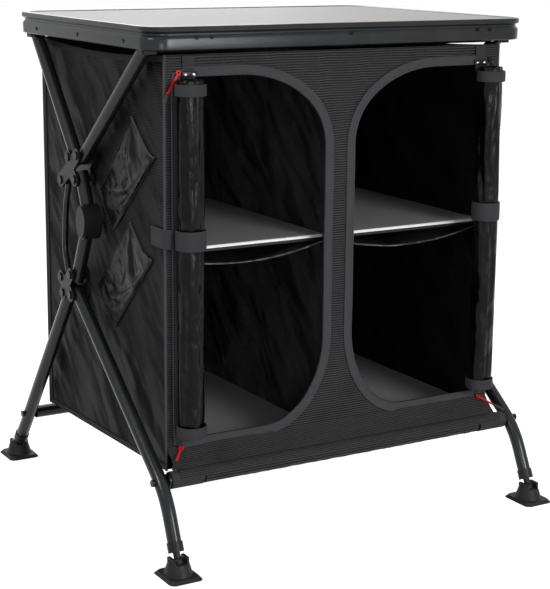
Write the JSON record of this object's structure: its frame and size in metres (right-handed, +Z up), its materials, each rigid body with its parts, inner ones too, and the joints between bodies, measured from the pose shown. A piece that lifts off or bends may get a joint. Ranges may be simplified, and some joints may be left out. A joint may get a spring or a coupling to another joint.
{
  "type": "camping kitchen cupboard",
  "caption": "Folding camping cupboard with a hard worktop on crossed tube side frames and a hanging cloth cabinet with shelves and rolled-up doors.",
  "frame": {"origin": "on the ground, under the middle of the cupboard's bounding box", "axes": "+Z up, +Y towards the back, the open front with the rolled doors faces -Y, +X to the right seen from the front"},
  "size_m": [0.7356, 0.722, 0.82],
  "materials": {
    "frame_tube": "satin",
    "hub_plate": "satin",
    "fastener": "satin",
    "fitting_plastic": "matte",
    "foot_plastic": "matte",
    "rim": "satin",
    "laminate": "satin",
    "board": "satin",
    "cloth": "ribbed weave",
    "smooth_nylon": "satin nylon",
    "webbing": "plain weave",
    "zip_metal": "satin",
    "zip_cord": "satin"
  },
  "bodies": {
    "cabinet": {"upper_hub_plates": "hub_plate", "lower_hub_plates": "hub_plate", "hub_pins": "fastener", "link_rods": "frame_tube", "side_panel_left": "cloth", "side_panel_right": "cloth", "divider_panel": "cloth", "shelf_sling": "cloth", "floor_cloth": "cloth", "pocket_upper": "smooth_nylon", "pocket_lower": "smooth_nylon", "knee_upper_left": "frame_tube", "knee_upper_right": "frame_tube", "knee_lower_left": "frame_tube", "knee_lower_right": "frame_tube", "knee_joint_left": "fitting_plastic", "knee_joint_right": "fitting_plastic"},
    "rear_legs": {"rear_leg_left": "frame_tube", "rear_leg_right": "frame_tube", "rear_bottom_bar": "frame_tube", "rear_bar_bolts": "fastener", "foot_stems_rear": "foot_plastic"},
    "front_legs": {"front_leg_left": "frame_tube", "front_leg_right": "frame_tube", "front_bottom_bar": "frame_tube", "front_bar_bolts": "fastener", "foot_stems_front": "foot_plastic", "bar_sleeves": "cloth"},
    "upper_rear_frame": {"upper_rear_tube_left": "frame_tube", "upper_rear_tube_right": "frame_tube", "rear_top_bar": "frame_tube", "rear_top_fittings": "fitting_plastic"},
    "upper_front_frame": {"upper_front_tube_left": "frame_tube", "upper_front_tube_right": "frame_tube", "front_top_bar": "frame_tube", "front_top_fittings": "fitting_plastic"},
    "worktop": {"top_rim": "rim", "top_panel": "laminate", "rim_screws": "fastener"},
    "shelf_boards": {"shelf_board_left": "board", "shelf_board_right": "board"},
    "floor_boards": {"floor_board_left": "board", "floor_board_right": "board"},
    "front_cloth": {"front_panel": "cloth", "door_roll_left": "smooth_nylon", "door_roll_right": "smooth_nylon", "roll_straps": "webbing", "zip_sliders": "zip_metal"},
    "back_cloth": {"back_panel": "cloth"},
    "lock_button_left": {"lock_button_left": "fitting_plastic"},
    "foot_pad_front_left": {"foot_pad_front_left": "foot_plastic"},
    "foot_pad_rear_left": {"foot_pad_rear_left": "foot_plastic"},
    "zip_pull_top_left": {"zip_pull_top_left": "zip_cord"},
    "zip_pull_bottom_left": {"zip_pull_bottom_left": "zip_cord"},
    "lock_button_right": {"lock_button_right": "fitting_plastic"},
    "foot_pad_front_right": {"foot_pad_front_right": "foot_plastic"},
    "foot_pad_rear_right": {"foot_pad_rear_right": "foot_plastic"},
    "zip_pull_top_right": {"zip_pull_top_right": "zip_cord"},
    "zip_pull_bottom_right": {"zip_pull_bottom_right": "zip_cord"}
  },
  "joints": [
    {"name": "rear_leg_fold", "type": "hinge", "parent": "cabinet", "child": "rear_legs", "pos_m": [0, 0.076, 0.362], "axis": [-1, 0, 0], "range_deg": [0, 30], "deforming": ["side_panel_left", "side_panel_right", "divider_panel", "shelf_sling", "floor_cloth", "back_panel", "front_panel", "pocket_upper", "pocket_lower"]},
    {"name": "front_leg_fold", "type": "hinge", "parent": "cabinet", "child": "front_legs", "pos_m": [0, 0.044, 0.364], "axis": [1, 0, 0], "range_deg": [0, 40]},
    {"name": "upper_rear_fold", "type": "hinge", "parent": "cabinet", "child": "upper_rear_frame", "pos_m": [0, 0.05, 0.594], "axis": [1, 0, 0], "range_deg": [0, 36]},
    {"name": "upper_front_fold", "type": "hinge", "parent": "cabinet", "child": "upper_front_frame", "pos_m": [0, 0.016, 0.6], "axis": [-1, 0, 0], "range_deg": [0, 44]},
    {"name": "shelf_board_fold", "type": "hinge", "parent": "cabinet", "child": "shelf_boards", "pos_m": [0, -0.012, 0.4735], "axis": [1, 0, 0], "range_deg": [0, 90]},
    {"name": "floor_board_fold", "type": "hinge", "parent": "cabinet", "child": "floor_boards", "pos_m": [0, 0.014, 0.142], "axis": [1, 0, 0], "range_deg": [0, 90]},
    {"name": "worktop_lift", "type": "slide", "parent": "cabinet", "child": "worktop", "axis": [0, 0, 1], "range_m": [0, 0.2]},
    {"name": "front_cloth_fold", "type": "slide", "parent": "cabinet", "child": "front_cloth", "axis": [0, 1, 0], "range_m": [0, 0.12]},
    {"name": "back_cloth_fold", "type": "slide", "parent": "cabinet", "child": "back_cloth", "axis": [0, -1, 0], "range_m": [0, 0.12]},
    {"name": "foot_tilt_front_left", "type": "hinge", "parent": "front_legs", "child": "foot_pad_front_left", "pos_m": [-0.33983, -0.327, 0.022], "axis": [1, 0, 0], "range_deg": [-15, 15]},
    {"name": "foot_tilt_front_right", "type": "hinge", "parent": "front_legs", "child": "foot_pad_front_right", "pos_m": [0.33983, -0.327, 0.022], "axis": [1, 0, 0], "range_deg": [-15, 15]},
    {"name": "foot_tilt_rear_left", "type": "hinge", "parent": "rear_legs", "child": "foot_pad_rear_left", "pos_m": [-0.33983, 0.327, 0.022], "axis": [1, 0, 0], "range_deg": [-15, 15]},
    {"name": "foot_tilt_rear_right", "type": "hinge", "parent": "rear_legs", "child": "foot_pad_rear_right", "pos_m": [0.33983, 0.327, 0.022], "axis": [1, 0, 0], "range_deg": [-15, 15]},
    {"name": "lock_button_press_left", "type": "slide", "parent": "cabinet", "child": "lock_button_left", "axis": [1, 0, 0], "range_m": [0, 0.003], "stiffness_N_per_m": 500},
    {"name": "lock_button_press_right", "type": "slide", "parent": "cabinet", "child": "lock_button_right", "axis": [-1, 0, 0], "range_m": [0, 0.003], "stiffness_N_per_m": 500},
    {"name": "zip_pull_swing_top_left", "type": "hinge", "parent": "front_cloth", "child": "zip_pull_top_left", "pos_m": [-0.29, -0.2382, 0.751], "axis": [0, 1, 0], "range_deg": [0, 60]},
    {"name": "zip_pull_swing_bottom_left", "type": "hinge", "parent": "front_cloth", "child": "zip_pull_bottom_left", "pos_m": [-0.29, -0.2406, 0.1695], "axis": [-0.788, 0.5289, 0.3152], "range_deg": [0, 20]},
    {"name": "zip_pull_swing_top_right", "type": "hinge", "parent": "front_cloth", "child": "zip_pull_top_right", "pos_m": [0.29, -0.2382, 0.751], "axis": [0, -1, 0], "range_deg": [0, 60]},
    {"name": "zip_pull_swing_bottom_right", "type": "hinge", "parent": "front_cloth", "child": "zip_pull_bottom_right", "pos_m": [0.29, -0.2406, 0.1695], "axis": [-0.788, -0.5289, -0.3152], "range_deg": [0, 20]}
  ],
  "couplings": [
    {"joint": "front_leg_fold", "follows": "rear_leg_fold", "ratio": 1.3333},
    {"joint": "upper_rear_fold", "follows": "rear_leg_fold", "ratio": 1.2},
    {"joint": "upper_front_fold", "follows": "rear_leg_fold", "ratio": 1.4667},
    {"joint": "shelf_board_fold", "follows": "rear_leg_fold", "ratio": 3},
    {"joint": "floor_board_fold", "follows": "rear_leg_fold", "ratio": 3},
    {"joint": "worktop_lift", "follows": "rear_leg_fold", "m_per_rad": 0.38197},
    {"joint": "front_cloth_fold", "follows": "rear_leg_fold", "m_per_rad": 0.22918},
    {"joint": "back_cloth_fold", "follows": "rear_leg_fold", "m_per_rad": 0.22918}
  ]
}
